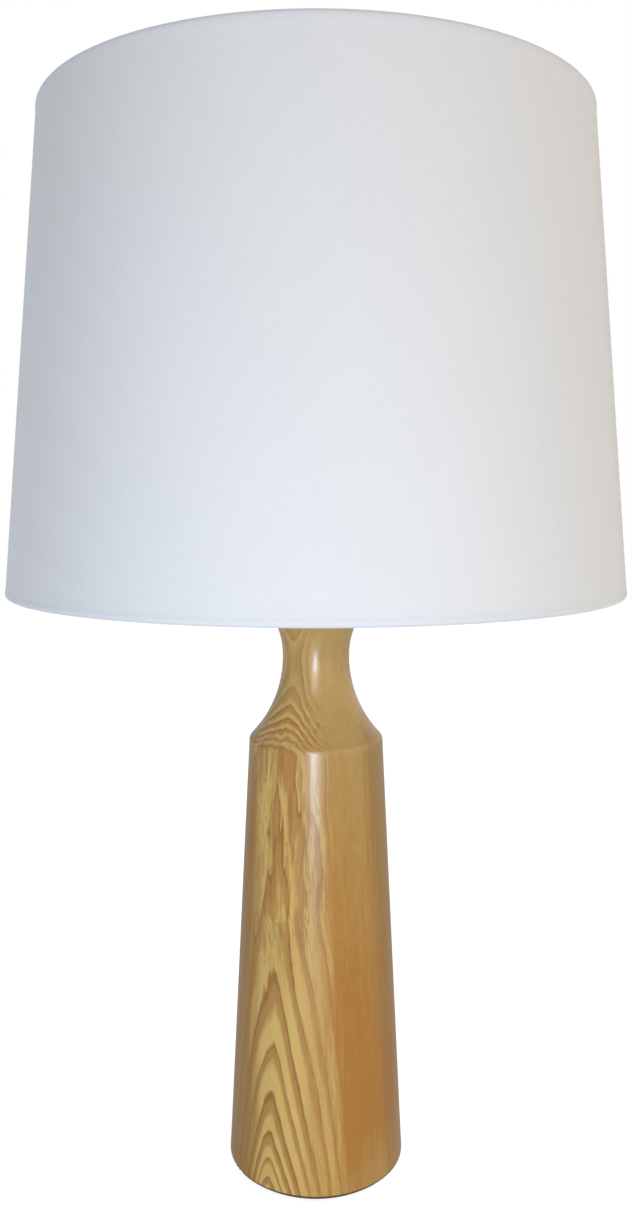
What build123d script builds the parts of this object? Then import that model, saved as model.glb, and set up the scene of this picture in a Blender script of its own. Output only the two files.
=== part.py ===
from build123d import *
from math import atan, cos, degrees, hypot, radians, sin, sqrt, tan
import os

# Column table lamp: a turned ash column, a threaded pipe through it that carries the harp saddle and
# the lampholder, and a tapered drum shade that hangs from the top of the harp.
# Millimetres, +Z up. The origin is on the table, under the middle of the foot. The front is -Y, where
# the switch points; the cord hole and the shade's seam are at the back, +Y; the harp is in the XZ plane.

# ---------------------------------------------------------------- clearances
fit_gap = 0.05  # radial, between pieces of one body that are screwed or pushed together
running_gap = 0.08  # radial, between a shaft and the hole that it turns in
resting_gap = 0.2  # between pieces of two bodies that rest or slide beside each other
bore_gap = 0.4  # radial, between the pipe and the holes drilled for it
ferrule_gap = 0.75  # radial, between a ferrule and the corners of the harp foot and the ear inside it

# ---------------------------------------------------------------- turned column
foot_radius = 60.5
foot_round = 1.5
shoulder_height = 295.1  # above the column's foot
shoulder_radius = 45.6
shoulder_round = 5.0
cove_height = 55.5  # from the shoulder up to the neck
neck_radius = 22.65
flare_height = 27.4  # from the neck up to the lip
lip_radius = 30.0
lip_round = 3.0
recess_radius = 30.0
recess_depth = 30.0
recess_chamfer = 1.0

# ---------------------------------------------------------------- foot: felt, bush and clamping nut
felt_thickness = 2.0
felt_inset = 3.0  # from the column's edge
felt_margin = 1.5  # from the recess's edge
washer_radius = 19.0
washer_thickness = 2.0
lock_washer_radius = 8.4
lock_washer_thickness = 1.6
lock_washer_split = 2.0
base_nut_flats = 16.0
base_nut_thickness = 4.8
pipe_tail = 3.0  # of the pipe below the nut
cord_hole_height = 10.0  # above the column's foot
cord_bore_radius = 3.6
bush_wall = 2.6
bush_length = 12.0
bush_flange_width = 1.9  # beyond the sleeve
bush_flange_thickness = 1.5
spot_face_depth = 0.4
spot_face_margin = 0.5

# ---------------------------------------------------------------- threaded pipe and what it clamps
pipe_radius = 5.0
pipe_wall = 1.6
seat_cap_radius = 21.0
seat_cap_thickness = 2.5
seat_cap_round = 1.6
spacer_radius = 8.0
spacer_length = 20.0
spacer_waist = 1.2  # how far the spacer's middle is turned in
saddle_thickness = 1.6
saddle_width = 13.0
saddle_pad_radius = 9.5
saddle_span = 54.0  # over the outer faces of the two ears
saddle_bend = 2.4  # outer radius where an ear turns up
ear_width = 5.0
ear_height = 18.0
saddle_nut_flats = 14.0
saddle_nut_thickness = 3.5

# ---------------------------------------------------------------- lampholder
hub_radius = 7.2
hub_length = 9.5
pipe_stop = 1.5  # from the pipe's top end to the top of the hub
dome_rise = 8.5
skirt_length = 6.0
cap_wall = 0.8
shell_radius = 16.3
shell_wall = 0.5
shell_length = 46.0
shell_lap = 5.5  # of the shell inside the cap's skirt
shell_bead = 0.6
liner_wall = 0.5
liner_drop = 4.0  # from the shell's top to the insulating sleeve's
terminal_room = 1.4  # between the switch body and the insulating sleeve
switch_body_height = 26.0
screw_shell_wall = 0.35
screw_shell_length = 24.0
contact_width = 5.0
contact_length = 13.0
contact_thickness = 0.6
contact_rise = 2.5
terminal_height = 8.0  # above the switch body's underside
terminal_screw_radius = 1.7
terminal_screw_length = 6.0
terminal_head_radius = 3.0
terminal_head_thickness = 1.4
terminal_sink = 1.6  # of the flat that a terminal screw's head sits on
set_screw_radius = 1.4
set_screw_head_radius = 2.4
set_screw_head_thickness = 1.6
set_screw_reach = 1.2  # of the head's underside beyond the hub

# ---------------------------------------------------------------- turn switch
switch_rise = 5.5  # of the shaft above the cap's rim
shaft_radius = 2.4
shaft_slot_margin = 1.6  # between the shaft and the notch in the shell
rotor_radius = 4.6
rotor_length = 5.0
rotor_lobe_radius = 1.0
rotor_lobes = 4
rotor_depth = 3.0  # from the lamp's axis to the rotor's inner end
rotor_gap = 0.5
knob_radius = 6.6
knob_length = 14.0
knob_gap = 1.6  # between the shell and the knob
knob_grip = 8.0  # of the shaft inside the knob
knob_flutes = 12
knob_flute_radius = 0.8
knob_round = 1.2

# ---------------------------------------------------------------- lamp bulb
bulb_radius = 30.0
bulb_height = 108.0
bulb_glass_wall = 1.0
bulb_neck_radius = 14.0
bulb_ogee_radius = 60.0  # of the hollow curve from the neck to the ball
bulb_plug_length = 6.0  # of the glass cemented inside the screw cap
bulb_cap_radius = 13.0
bulb_cap_wall = 0.4
bulb_cap_bottom = 4.0  # above the bulb's contact
bulb_cap_top = 26.0
bulb_cap_flare = 0.5
bulb_cap_step = 3.0
bulb_button_radius = 4.6
bulb_button_height = 1.6
bulb_stem_radius = 2.8
insulator_top_radius = 9.4
insulator_bottom_radius = 5.2
thread_gap = 0.3  # radial, between the bulb's cap and the socket's screw shell

# ---------------------------------------------------------------- harp
harp_height = 279.4  # from the saddle's underside to the shade's seat: an 11 inch harp
harp_wire_radius = 1.6
harp_belly_half_width = 55.0
harp_straight = 37.0  # of each leg, above the saddle's underside
harp_belly_low = 100.0  # above the saddle's underside
harp_belly_high = 105.0  # below the crown
harp_cheek_half_width = 42.0
harp_cheek_drop = 38.0  # below the crown
harp_crown_half_width = 20.0
harp_bend_radii = (50.0, 80.0, 90.0, 80.0, 14.0)  # from a leg up to the crown
foot_thickness = 1.6
foot_clear = 2.2  # from the saddle's top to a harp foot
foot_lap = 3.5  # of a foot over the wire
wire_clear = 1.0  # from the top of an ear to the wire
ferrule_wall = 0.85
ferrule_length = 12.0
ferrule_clear = 1.5  # from the saddle's top to a lowered ferrule
stud_plate_length = 20.0
stud_plate_thickness = 1.5
stud_lip_thickness = 1.2
stud_lip_depth = 3.0
stud_radius = 3.1
stud_length = 13.0
stud_shoulder_drop = 0.2  # of the shoulder below the hub's top

# ---------------------------------------------------------------- shade
shade_bottom_radius = 203.2  # a 14 x 16 x 12 inch shade
shade_top_radius = 177.8
shade_height = 304.8
shade_drop = 21.0  # from the shade's top edge down to its seat on the harp
fabric_thickness = 0.5
liner_thickness = 0.6
ring_wire_radius = 1.5
ring_gap = 0.25  # between a ring's wire and the cloth and lining round it
hem_depth = 8.0  # of the fabric turned down inside
seam_width = 10.0
seam_thickness = 0.3
spider_hub_radius = 14.0
spider_hub_hole_radius = 5.5
spider_hub_thickness = 1.5
spider_arms_count = 3
spider_arm_radius = 1.5
spider_arm_start = 10.0  # from the lamp's axis
spider_arm_bend = 148.0  # from the lamp's axis
spider_arm_bend_radius = 12.0
spider_arm_slit = 0.5  # all round an arm, where it passes the turned-down fabric
weld_sink = 0.3  # how deep one welded wire lies in the next

# ---------------------------------------------------------------- finial
insert_wall = 1.8
insert_length = 12.0
insert_flange_radius = 7.0
insert_flange_thickness = 1.2
finial_base_radius = 8.4
finial_base_height = 3.4
finial_waist_radius = 7.3
finial_waist_height = 7.0
finial_ball_radius = 10.5
finial_height = 30.0

# ---------------------------------------------------------------- places that follow from the sizes
foot_z = felt_thickness
shoulder_z = foot_z + shoulder_height
neck_z = shoulder_z + cove_height
column_top = neck_z + flare_height
recess_top = foot_z + recess_depth
pipe_hole_radius = pipe_radius + bore_gap
nut_hole_radius = pipe_radius + fit_gap
washer_z = recess_top - washer_thickness
lock_washer_z = washer_z - lock_washer_thickness
base_nut_z = lock_washer_z - base_nut_thickness
pipe_bottom = base_nut_z - pipe_tail

saddle_z = column_top + seat_cap_thickness + spacer_length
saddle_top = saddle_z + saddle_thickness
socket_z = saddle_top + saddle_nut_thickness
pipe_top = socket_z + hub_length - pipe_stop

cap_skirt_radius = shell_radius + fit_gap + cap_wall
dome_reach = cap_skirt_radius - hub_radius
dome_radius = (dome_reach**2 + dome_rise**2) / (2 * dome_reach)
dome_centre_radius = cap_skirt_radius - dome_radius
dome_top = socket_z + hub_length + dome_rise
cap_top = dome_top + skirt_length
shell_bottom = cap_top - shell_lap
shell_top = shell_bottom + shell_length
sleeve_radius = shell_radius - shell_wall - fit_gap
switch_body_radius = sleeve_radius - liner_wall - terminal_room
switch_body_reach = switch_body_radius - dome_centre_radius
switch_body_z = dome_top - sqrt((dome_radius - cap_wall - fit_gap) ** 2 - switch_body_reach**2)
switch_body_top = switch_body_z + switch_body_height
switch_z = cap_top + switch_rise
knob_start = shell_radius + knob_gap
contact_top = switch_body_top + contact_rise
bulb_z = contact_top + resting_gap
screw_shell_radius = bulb_cap_radius + thread_gap

shade_seat = saddle_z + harp_height
harp_crown = shade_seat - stud_plate_thickness - harp_wire_radius
ear_top = saddle_z + ear_height
ear_face = saddle_span / 2
foot_face = ear_face + resting_gap
leg_x = (ear_face - saddle_thickness + foot_face + foot_thickness) / 2
grip_half_depth = foot_face + foot_thickness - leg_x
ferrule_bore = hypot(grip_half_depth, ear_width / 2) + ferrule_gap
ferrule_z = saddle_top + ferrule_clear

shade_top = shade_seat + shade_drop
shade_bottom = shade_top - shade_height
wall_length = hypot(shade_height, shade_bottom_radius - shade_top_radius)
rim_thickness = 2 * (fabric_thickness + ring_gap + ring_wire_radius) + liner_thickness
rim_radius = rim_thickness / 2
ring_depth = rim_thickness - fabric_thickness - ring_gap - ring_wire_radius
hub_top = shade_seat + spider_hub_thickness
finial_z = hub_top + resting_gap


# ---------------------------------------------------------------- shared ways of making a piece
def rz(radius, height):
    """A point of an outline that is turned about the lamp's axis."""
    return Vector(radius, 0, height)


def flat(*outline):
    """A flat face inside a closed outline of lines and arcs."""
    return make_face(list(outline))


def turned(*outline):
    """A solid turned about the lamp's axis from a closed outline in the XZ plane."""
    return revolve(flat(*outline), Axis.Z)


def tube(outer, inner, bottom, length):
    """A plain round tube on the lamp's axis."""
    top = bottom + length
    return turned(Polyline(rz(inner, bottom), rz(outer, bottom), rz(outer, top), rz(inner, top), close=True))


def hex_nut(flats, bottom, thickness):
    """A hexagon nut on the lamp's axis, with the corners of both faces turned off."""
    corner = flats / 2 / cos(radians(30))
    turned_off = corner - flats / 2
    rise = turned_off * tan(radians(30))
    blank = extrude(Plane.XY.offset(bottom) * RegularPolygon(corner, 6), thickness)
    lathe = turned(
        Polyline(
            rz(nut_hole_radius, bottom),
            rz(flats / 2, bottom),
            rz(corner, bottom + rise),
            rz(corner, bottom + thickness - rise),
            rz(flats / 2, bottom + thickness),
            rz(nut_hole_radius, bottom + thickness),
            close=True,
        )
    )
    return blank & lathe


def rod_y(radius, start, end, height):
    """A round rod along Y, at a height on the lamp's middle plane."""
    middle = (start + end) / 2
    return Pos(0, middle, height) * Rot(90, 0, 0) * Cylinder(radius, abs(end - start))


def wire_along(path, radius):
    """Round wire bent along a path."""
    return sweep(Plane(path @ 0, z_dir=path % 0) * Circle(radius), path)


def corner_of(face, point):
    """The corner of a flat face that is nearest to a point."""
    return face.vertices().sort_by_distance(point)[0]


def mirrored(shape):
    """A piece and its mirror image across the YZ plane."""
    return shape + mirror(shape, Plane.YZ)


# ---------------------------------------------------------------- column and foot
def flank_radius(height):
    """The column's straight taper at a height above the table."""
    share = (height - foot_z) / shoulder_height
    return foot_radius + (shoulder_radius - foot_radius) * share


def hollow(end):
    """The hollow arc from the neck, where it is upright, to its other end."""
    rise = end.Z - neck_z
    step = end.X - neck_radius
    hollow_radius = (rise**2 + step**2) / (2 * step)
    half = rise / 2
    middle = rz(neck_radius + hollow_radius - sqrt(hollow_radius**2 - half**2), neck_z + half)
    return ThreePointArc(rz(neck_radius, neck_z), middle, end)


def spot_face_y():
    """How far back the flat for the cord bush's flange lies."""
    spot_radius = cord_bore_radius + bush_wall + bush_flange_width + spot_face_margin
    narrow = flank_radius(foot_z + cord_hole_height + spot_radius)
    return sqrt(narrow**2 - spot_radius**2) - spot_face_depth, spot_radius


def column():
    """The turned ash body, with the pipe's bore, the recess under the foot and the cord's hole."""
    foot_corner = rz(foot_radius, foot_z)
    shoulder = rz(shoulder_radius, shoulder_z)
    lip = rz(lip_radius, column_top)
    face = flat(
        Line(foot_corner, shoulder),
        hollow(shoulder),
        hollow(lip),
        Polyline(
            lip,
            rz(pipe_hole_radius, column_top),
            rz(pipe_hole_radius, recess_top),
            rz(recess_radius, recess_top),
            rz(recess_radius, foot_z + recess_chamfer),
            rz(recess_radius + recess_chamfer, foot_z),
            foot_corner,
        ),
    )
    for corner, radius in ((foot_corner, foot_round), (shoulder, shoulder_round), (lip, lip_round)):
        face = fillet(corner_of(face, corner), radius)
    spot_y, spot_radius = spot_face_y()
    cord_z = foot_z + cord_hole_height
    body = revolve(face, Axis.Z)
    body -= rod_y(cord_bore_radius + bush_wall + fit_gap, recess_radius / 2, foot_radius, cord_z)
    return body - rod_y(spot_radius, spot_y, foot_radius + foot_round, cord_z)


def foot_felt():
    """The felt ring glued under the column."""
    inner = recess_radius + recess_chamfer + felt_margin
    return tube(foot_radius - felt_inset, inner, 0, felt_thickness)


def cord_bush():
    """The plastic bush in the cord's hole: a sleeve with a flange on the flat behind the column."""
    spot_y = spot_face_y()[0]
    cord_z = foot_z + cord_hole_height
    sleeve_radius_outside = cord_bore_radius + bush_wall
    flange_end = spot_y + bush_flange_thickness
    flange = rod_y(sleeve_radius_outside + bush_flange_width, spot_y, flange_end, cord_z)
    sleeve = rod_y(sleeve_radius_outside, spot_y - bush_length, spot_y, cord_z)
    return flange + sleeve - rod_y(cord_bore_radius, spot_y - bush_length, flange_end, cord_z)


def base_washer():
    """The broad washer that spreads the pipe's pull over the recess's ceiling."""
    return tube(washer_radius, pipe_hole_radius, washer_z, washer_thickness)


def base_lock_washer():
    """The split spring washer under the base nut."""
    ring = tube(lock_washer_radius, pipe_hole_radius, lock_washer_z, lock_washer_thickness)
    split = Box(lock_washer_radius, lock_washer_split, lock_washer_thickness)
    return ring - Pos(lock_washer_radius, 0, lock_washer_z + lock_washer_thickness / 2) * split


# ---------------------------------------------------------------- threaded pipe and what it clamps
def lamp_pipe():
    """The threaded steel pipe from the base nut to the lampholder."""
    return tube(pipe_radius, pipe_radius - pipe_wall, pipe_bottom, pipe_top - pipe_bottom)


def seat_cap():
    """The brass cap that covers the bore in the column's top."""
    top = column_top + seat_cap_thickness
    rim = rz(seat_cap_radius, top)
    face = flat(
        Polyline(
            rz(pipe_hole_radius, column_top),
            rz(seat_cap_radius, column_top),
            rim,
            rz(pipe_hole_radius, top),
            close=True,
        )
    )
    return revolve(fillet(corner_of(face, rim), seat_cap_round), Axis.Z)


def neck_spacer():
    """The waisted brass spacer between the cap and the harp saddle."""
    bottom = column_top + seat_cap_thickness
    return turned(
        ThreePointArc(
            rz(spacer_radius, bottom),
            rz(spacer_radius - spacer_waist, bottom + spacer_length / 2),
            rz(spacer_radius, saddle_z),
        ),
        Polyline(
            rz(spacer_radius, saddle_z),
            rz(pipe_hole_radius, saddle_z),
            rz(pipe_hole_radius, bottom),
            rz(spacer_radius, bottom),
        ),
    )


def harp_saddle():
    """The bent steel strip whose two ears hold the harp's feet."""
    outside = Polyline(
        Vector(-ear_face, 0, ear_top),
        Vector(-ear_face, 0, saddle_z),
        Vector(ear_face, 0, saddle_z),
        Vector(ear_face, 0, ear_top),
    )
    inner_face = ear_face - saddle_thickness
    inside = Polyline(
        Vector(ear_face, 0, ear_top),
        Vector(inner_face, 0, ear_top),
        Vector(inner_face, 0, saddle_top),
        Vector(-inner_face, 0, saddle_top),
        Vector(-inner_face, 0, ear_top),
        Vector(-ear_face, 0, ear_top),
    )
    face = flat(outside, inside)
    for side in (-1, 1):
        face = fillet(corner_of(face, Vector(side * ear_face, 0, saddle_z)), saddle_bend)
    inner_bend = saddle_bend - saddle_thickness
    for side in (-1, 1):
        face = fillet(corner_of(face, Vector(side * inner_face, 0, saddle_top)), inner_bend)
    strip = extrude(face, saddle_width / 2, both=True)
    pad = extrude(Plane.XY.offset(saddle_z) * Circle(saddle_pad_radius), ear_height)
    taper = Polyline(
        (0, saddle_width / 2, saddle_z),
        (ear_face - saddle_bend * 2, ear_width / 2, saddle_z),
        (ear_face, ear_width / 2, saddle_z),
        (ear_face, -ear_width / 2, saddle_z),
        (ear_face - saddle_bend * 2, -ear_width / 2, saddle_z),
        (0, -saddle_width / 2, saddle_z),
        close=True,
    )
    plan = mirrored(extrude(flat(taper), ear_height, dir=(0, 0, 1)))
    floor = extrude(Plane.XY.offset(saddle_z) * Circle(saddle_pad_radius), saddle_thickness)
    hole = Pos(0, 0, saddle_z) * Cylinder(pipe_hole_radius, 4 * saddle_thickness)
    return (strip & (plan + pad)) + floor - hole


# ---------------------------------------------------------------- lampholder
def socket_cap():
    """The spun brass cap: a threaded hub, a bowl and a skirt that takes the shell."""
    inner_skirt = cap_skirt_radius - cap_wall
    inner_dome = dome_radius - cap_wall
    hub_bore = pipe_radius + fit_gap
    hub_top_z = socket_z + hub_length

    def bowl(radius, start):
        """The bowl's arc, from a radius near the hub out to the skirt."""
        reach = start - dome_centre_radius
        low = rz(start, dome_top - sqrt(radius**2 - reach**2))
        half_turn = (atan(reach / sqrt(radius**2 - reach**2)) + radians(90)) / 2
        middle = rz(dome_centre_radius + radius * sin(half_turn), dome_top - radius * cos(half_turn))
        return low, ThreePointArc(low, middle, rz(dome_centre_radius + radius, dome_top))

    outer_low, outer_arc = bowl(dome_radius, hub_radius)
    inner_low, inner_arc = bowl(inner_dome, hub_bore)
    cap = turned(
        outer_arc,
        Polyline(
            rz(cap_skirt_radius, dome_top),
            rz(cap_skirt_radius, cap_top),
            rz(inner_skirt, cap_top),
            rz(inner_skirt, dome_top),
        ),
        inner_arc,
        Polyline(inner_low, rz(hub_bore, socket_z), rz(hub_radius, socket_z), rz(hub_radius, hub_top_z)),
    )
    screw_hole = rod_y(set_screw_radius + fit_gap, 0, hub_radius + cap_wall, socket_z + hub_length / 2)
    return cap - screw_hole


def socket_set_screw():
    """The slotted screw that locks the cap on the pipe."""
    height = socket_z + hub_length / 2
    head_start = hub_radius + set_screw_reach
    head_end = head_start + set_screw_head_thickness
    screw = rod_y(set_screw_radius, pipe_radius + fit_gap, head_start, height)
    screw += rod_y(set_screw_head_radius, head_start, head_end, height)
    slot = Box(2 * set_screw_head_radius, set_screw_head_thickness, set_screw_head_thickness / 2)
    return screw - Pos(0, head_end, height) * slot


def switch_notch(radius):
    """The notch that lets a sleeve slip down over the switch's shaft."""
    width = 2 * (shaft_radius + shaft_slot_margin)
    drop = switch_z - shell_bottom
    slot = Pos(0, -radius, switch_z - drop / 2) * Box(width, radius, drop)
    return slot + rod_y(width / 2, -radius / 2, -radius * 1.5, switch_z)


def socket_shell():
    """The thin brass shell, with a rolled bead at its top."""
    inner = shell_radius - shell_wall
    bead_z = shell_top - shell_bead
    shell = tube(shell_radius, inner, shell_bottom, bead_z - shell_bottom)
    low = rz(shell_radius, bead_z)
    top = rz(shell_radius, shell_top)
    bulge = rz(shell_radius + shell_bead / 2, bead_z + shell_bead / 2)
    bead = turned(Polyline(low, rz(inner, bead_z), rz(inner, shell_top), top), ThreePointArc(top, bulge, low))
    return shell + bead - switch_notch(shell_radius)


def socket_liner():
    """The fibre sleeve that insulates the shell."""
    length = shell_top - liner_drop - shell_bottom
    sleeve = tube(sleeve_radius, sleeve_radius - liner_wall, shell_bottom, length)
    return sleeve - switch_notch(sleeve_radius)


def socket_body():
    """The moulded switch block, with the rotor's chamber and flats for the terminal screws."""
    body = Pos(0, 0, switch_body_z) * Cylinder(
        switch_body_radius, switch_body_height, align=(Align.CENTER, Align.CENTER, Align.MIN)
    )
    chamber_radius = rotor_radius + rotor_lobe_radius + rotor_gap
    chamber_end = rotor_depth + rotor_length + rotor_gap
    body -= rod_y(chamber_radius, -(rotor_depth - rotor_gap), -chamber_end, switch_z)
    body -= rod_y(shaft_radius + running_gap, -rotor_depth, -switch_body_radius, switch_z)
    flat_x = switch_body_radius - terminal_sink
    height = switch_body_z + terminal_height
    side = 2 * (terminal_head_radius + terminal_sink)
    for turn in (-1, 1):
        body -= Pos(turn * (flat_x + terminal_sink), 0, height) * Box(2 * terminal_sink, side, side)
        screw_hole = Cylinder(terminal_screw_radius + fit_gap, terminal_screw_length)
        body -= Pos(turn * (flat_x - terminal_screw_length / 2), 0, height) * Rot(0, 90, 0) * screw_hole
    return body


def terminal_screws():
    """The two terminal screws, one on each side of the switch block."""
    flat_x = switch_body_radius - terminal_sink
    height = switch_body_z + terminal_height
    shank = Pos(flat_x - terminal_screw_length / 2, 0, height) * Rot(0, 90, 0)
    head = Pos(flat_x + terminal_head_thickness / 2, 0, height) * Rot(0, 90, 0)
    screw = shank * Cylinder(terminal_screw_radius, terminal_screw_length)
    screw += head * Cylinder(terminal_head_radius, terminal_head_thickness)
    slot = Box(terminal_head_thickness, 2 * terminal_head_radius, terminal_head_thickness / 2)
    screw -= Pos(flat_x + terminal_head_thickness, 0, height) * slot
    return mirrored(screw)


def screw_shell():
    """The threaded sleeve that the bulb screws into."""
    outer = screw_shell_radius + screw_shell_wall
    return tube(outer, screw_shell_radius, switch_body_top, screw_shell_length)


def centre_contact():
    """The springy brass tongue under the bulb."""
    half = contact_length / 2
    shelf = half - contact_rise
    top = contact_top
    bottom = switch_body_top
    thick = contact_thickness
    outline = Polyline(
        (-half, 0, bottom),
        (-shelf, 0, bottom),
        (-shelf / 2, 0, top - thick),
        (shelf / 2, 0, top - thick),
        (shelf, 0, bottom),
        (half, 0, bottom),
        (half, 0, bottom + thick),
        (shelf, 0, bottom + thick),
        (shelf / 2, 0, top),
        (-shelf / 2, 0, top),
        (-shelf, 0, bottom + thick),
        (-half, 0, bottom + thick),
        close=True,
    )
    return extrude(flat(outline), contact_width / 2, both=True)


# ---------------------------------------------------------------- turn switch
def switch_shaft():
    """The switch's shaft, from the rotor out into the knob."""
    return rod_y(shaft_radius, -(rotor_depth + rotor_length), -(knob_start + knob_grip), switch_z)


def switch_rotor():
    """The lobed rotor on the shaft's inner end, which makes and breaks the contact."""
    rotor = rod_y(rotor_radius, -rotor_depth, -(rotor_depth + rotor_length), switch_z)
    for n in range(rotor_lobes):
        lobe = rod_y(rotor_lobe_radius, -rotor_depth, -(rotor_depth + rotor_length), 0)
        turn = Rot(0, n * 360 / rotor_lobes, 0) * Pos(rotor_radius, 0, 0)
        rotor += Pos(0, 0, switch_z) * turn * lobe
    return rotor


def switch_knob():
    """The fluted turn knob."""
    end = knob_start + knob_length
    knob = rod_y(knob_radius, -knob_start, -end, switch_z)
    knob = fillet(knob.edges().filter_by(GeomType.CIRCLE), knob_round)
    for n in range(knob_flutes):
        flute = rod_y(knob_flute_radius, -(knob_start - knob_round), -(end - 2 * knob_round), 0)
        knob -= Pos(0, 0, switch_z) * Rot(0, n * 360 / knob_flutes, 0) * Pos(knob_radius, 0, 0) * flute
    return knob - rod_y(shaft_radius, -knob_start, -(knob_start + knob_grip), switch_z)


# ---------------------------------------------------------------- lamp bulb
def bulb_outline(inset):
    """The bulb's outline from its neck to its crown, moved inwards by an inset."""
    centre = bulb_z + bulb_height - bulb_radius
    ball = bulb_radius - inset
    ogee = bulb_ogee_radius + inset
    across = bulb_neck_radius + bulb_ogee_radius
    down = sqrt((bulb_radius + bulb_ogee_radius) ** 2 - across**2)
    lean = atan(down / across)
    neck_end = rz(bulb_neck_radius - inset, centre - down)
    join = rz(across - ogee * cos(lean), centre - down + ogee * sin(lean))
    half = lean / 2
    ogee_middle = rz(across - ogee * cos(half), centre - down + ogee * sin(half))
    crown = rz(0, centre + ball)
    up = (radians(90) - lean) / 2
    ball_middle = rz(ball * cos(up), centre + ball * sin(up))
    ogee_arc = ThreePointArc(neck_end, ogee_middle, join)
    return neck_end, ogee_arc, ThreePointArc(join, ball_middle, crown), crown


def bulb_glass():
    """The frosted glass envelope, hollow, with its neck set in the screw cap."""
    outer_neck, outer_ogee, outer_ball, outer_crown = bulb_outline(0)
    inner_neck, inner_ogee, inner_ball, inner_crown = bulb_outline(bulb_glass_wall)
    cap_rim = bulb_z + bulb_cap_top
    plug = bulb_cap_radius - bulb_cap_wall - fit_gap
    plug_z = cap_rim - bulb_plug_length
    bore = plug - bulb_glass_wall
    return turned(
        outer_ogee,
        outer_ball,
        Line(outer_crown, inner_crown),
        inner_ball,
        inner_ogee,
        Polyline(
            inner_neck,
            rz(bulb_neck_radius - bulb_glass_wall, cap_rim + bulb_glass_wall / 2),
            rz(bore, cap_rim + bulb_glass_wall / 2),
            rz(bore, plug_z),
            rz(plug, plug_z),
            rz(plug, cap_rim),
            rz(bulb_neck_radius, cap_rim),
            outer_neck,
        ),
    )


def bulb_screw_cap():
    """The bulb's metal screw cap."""
    bottom = bulb_z + bulb_cap_bottom
    top = bulb_z + bulb_cap_top
    inner = bulb_cap_radius - bulb_cap_wall
    step = bottom + bulb_cap_step
    return turned(
        Polyline(
            rz(insulator_top_radius, bottom),
            rz(bulb_cap_radius, step),
            rz(bulb_cap_radius, top - bulb_cap_flare),
            rz(bulb_cap_radius + bulb_cap_flare, top),
            rz(inner, top),
            rz(inner, step),
            rz(insulator_top_radius, bottom + bulb_cap_wall),
            close=True,
        )
    )


def bulb_insulator():
    """The black glass insulator between the screw cap and the contact."""
    bottom = bulb_z + bulb_button_height
    top = bulb_z + bulb_cap_bottom
    return turned(
        Polyline(
            rz(bulb_stem_radius + fit_gap, bottom),
            rz(insulator_bottom_radius, bottom),
            rz(insulator_top_radius, top),
            rz(insulator_top_radius - fit_gap, top + bulb_cap_wall),
            rz(bulb_stem_radius + fit_gap, top + bulb_cap_wall),
            close=True,
        )
    )


def bulb_contact():
    """The soldered button under the bulb, and its stem."""
    return turned(
        Polyline(
            rz(0, bulb_z),
            rz(bulb_stem_radius, bulb_z),
            rz(bulb_button_radius, bulb_z + bulb_button_height / 2),
            rz(bulb_button_radius, bulb_z + bulb_button_height),
            rz(bulb_stem_radius, bulb_z + bulb_button_height),
            rz(bulb_stem_radius, bulb_z + bulb_cap_bottom),
            rz(0, bulb_z + bulb_cap_bottom),
            close=True,
        )
    )


# ---------------------------------------------------------------- harp
def harp_loop():
    """The bent wire loop, with a flattened foot at the end of each leg."""
    wire_start = ear_top + wire_clear
    half = (
        (leg_x, wire_start),
        (leg_x, saddle_z + harp_straight),
        (harp_belly_half_width, saddle_z + harp_belly_low),
        (harp_belly_half_width, harp_crown - harp_belly_high),
        (harp_cheek_half_width, harp_crown - harp_cheek_drop),
        (harp_crown_half_width, harp_crown),
    )
    right = [Vector(x, 0, z) for x, z in half]
    left = [Vector(-x, 0, z) for x, z in reversed(half)]
    path = FilletPolyline(*right, *left, radius=[*harp_bend_radii, *reversed(harp_bend_radii)])
    foot_bottom = saddle_top + foot_clear
    foot_height = wire_start + foot_lap - foot_bottom
    foot = Pos(foot_face + foot_thickness / 2, 0, foot_bottom + foot_height / 2)
    return wire_along(path, harp_wire_radius) + mirrored(foot * Box(foot_thickness, ear_width, foot_height))


def harp_stud():
    """The plate crimped over the harp's crown, with the threaded stud for the finial."""
    plate_z = shade_seat - stud_plate_thickness
    lip_y = harp_wire_radius + fit_gap + stud_lip_thickness / 2
    width = 2 * lip_y + stud_lip_thickness
    plate = Box(stud_plate_length, width, stud_plate_thickness)
    stud = Pos(0, 0, shade_seat - stud_plate_thickness / 2) * plate
    for side in (-1, 1):
        lip = Box(stud_plate_length, stud_lip_thickness, stud_lip_depth)
        stud += Pos(0, side * lip_y, plate_z - stud_lip_depth / 2) * lip
    base = (Align.CENTER, Align.CENTER, Align.MIN)
    shoulder_radius_outside = spider_hub_hole_radius - running_gap
    shoulder_length = spider_hub_thickness - stud_shoulder_drop
    stud += Pos(0, 0, shade_seat) * Cylinder(shoulder_radius_outside, shoulder_length, align=base)
    return stud + Pos(0, 0, shade_seat) * Cylinder(stud_radius, stud_length, align=base)


def harp_ferrule(side):
    """A sliding ferrule that locks one harp foot to its ear."""
    outer = ferrule_bore + ferrule_wall
    return Pos(side * leg_x, 0, 0) * tube(outer, ferrule_bore, ferrule_z, ferrule_length)


# ---------------------------------------------------------------- shade
def wall_point(along, inward):
    """A point of the shade's wall: so far up the slope from the bottom edge, and so far in from its face."""
    lean = (shade_bottom_radius - shade_top_radius) / wall_length
    up = shade_height / wall_length
    radius = shade_bottom_radius - along * lean - inward * up
    return rz(radius, shade_bottom + along * up - inward * lean)


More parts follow.
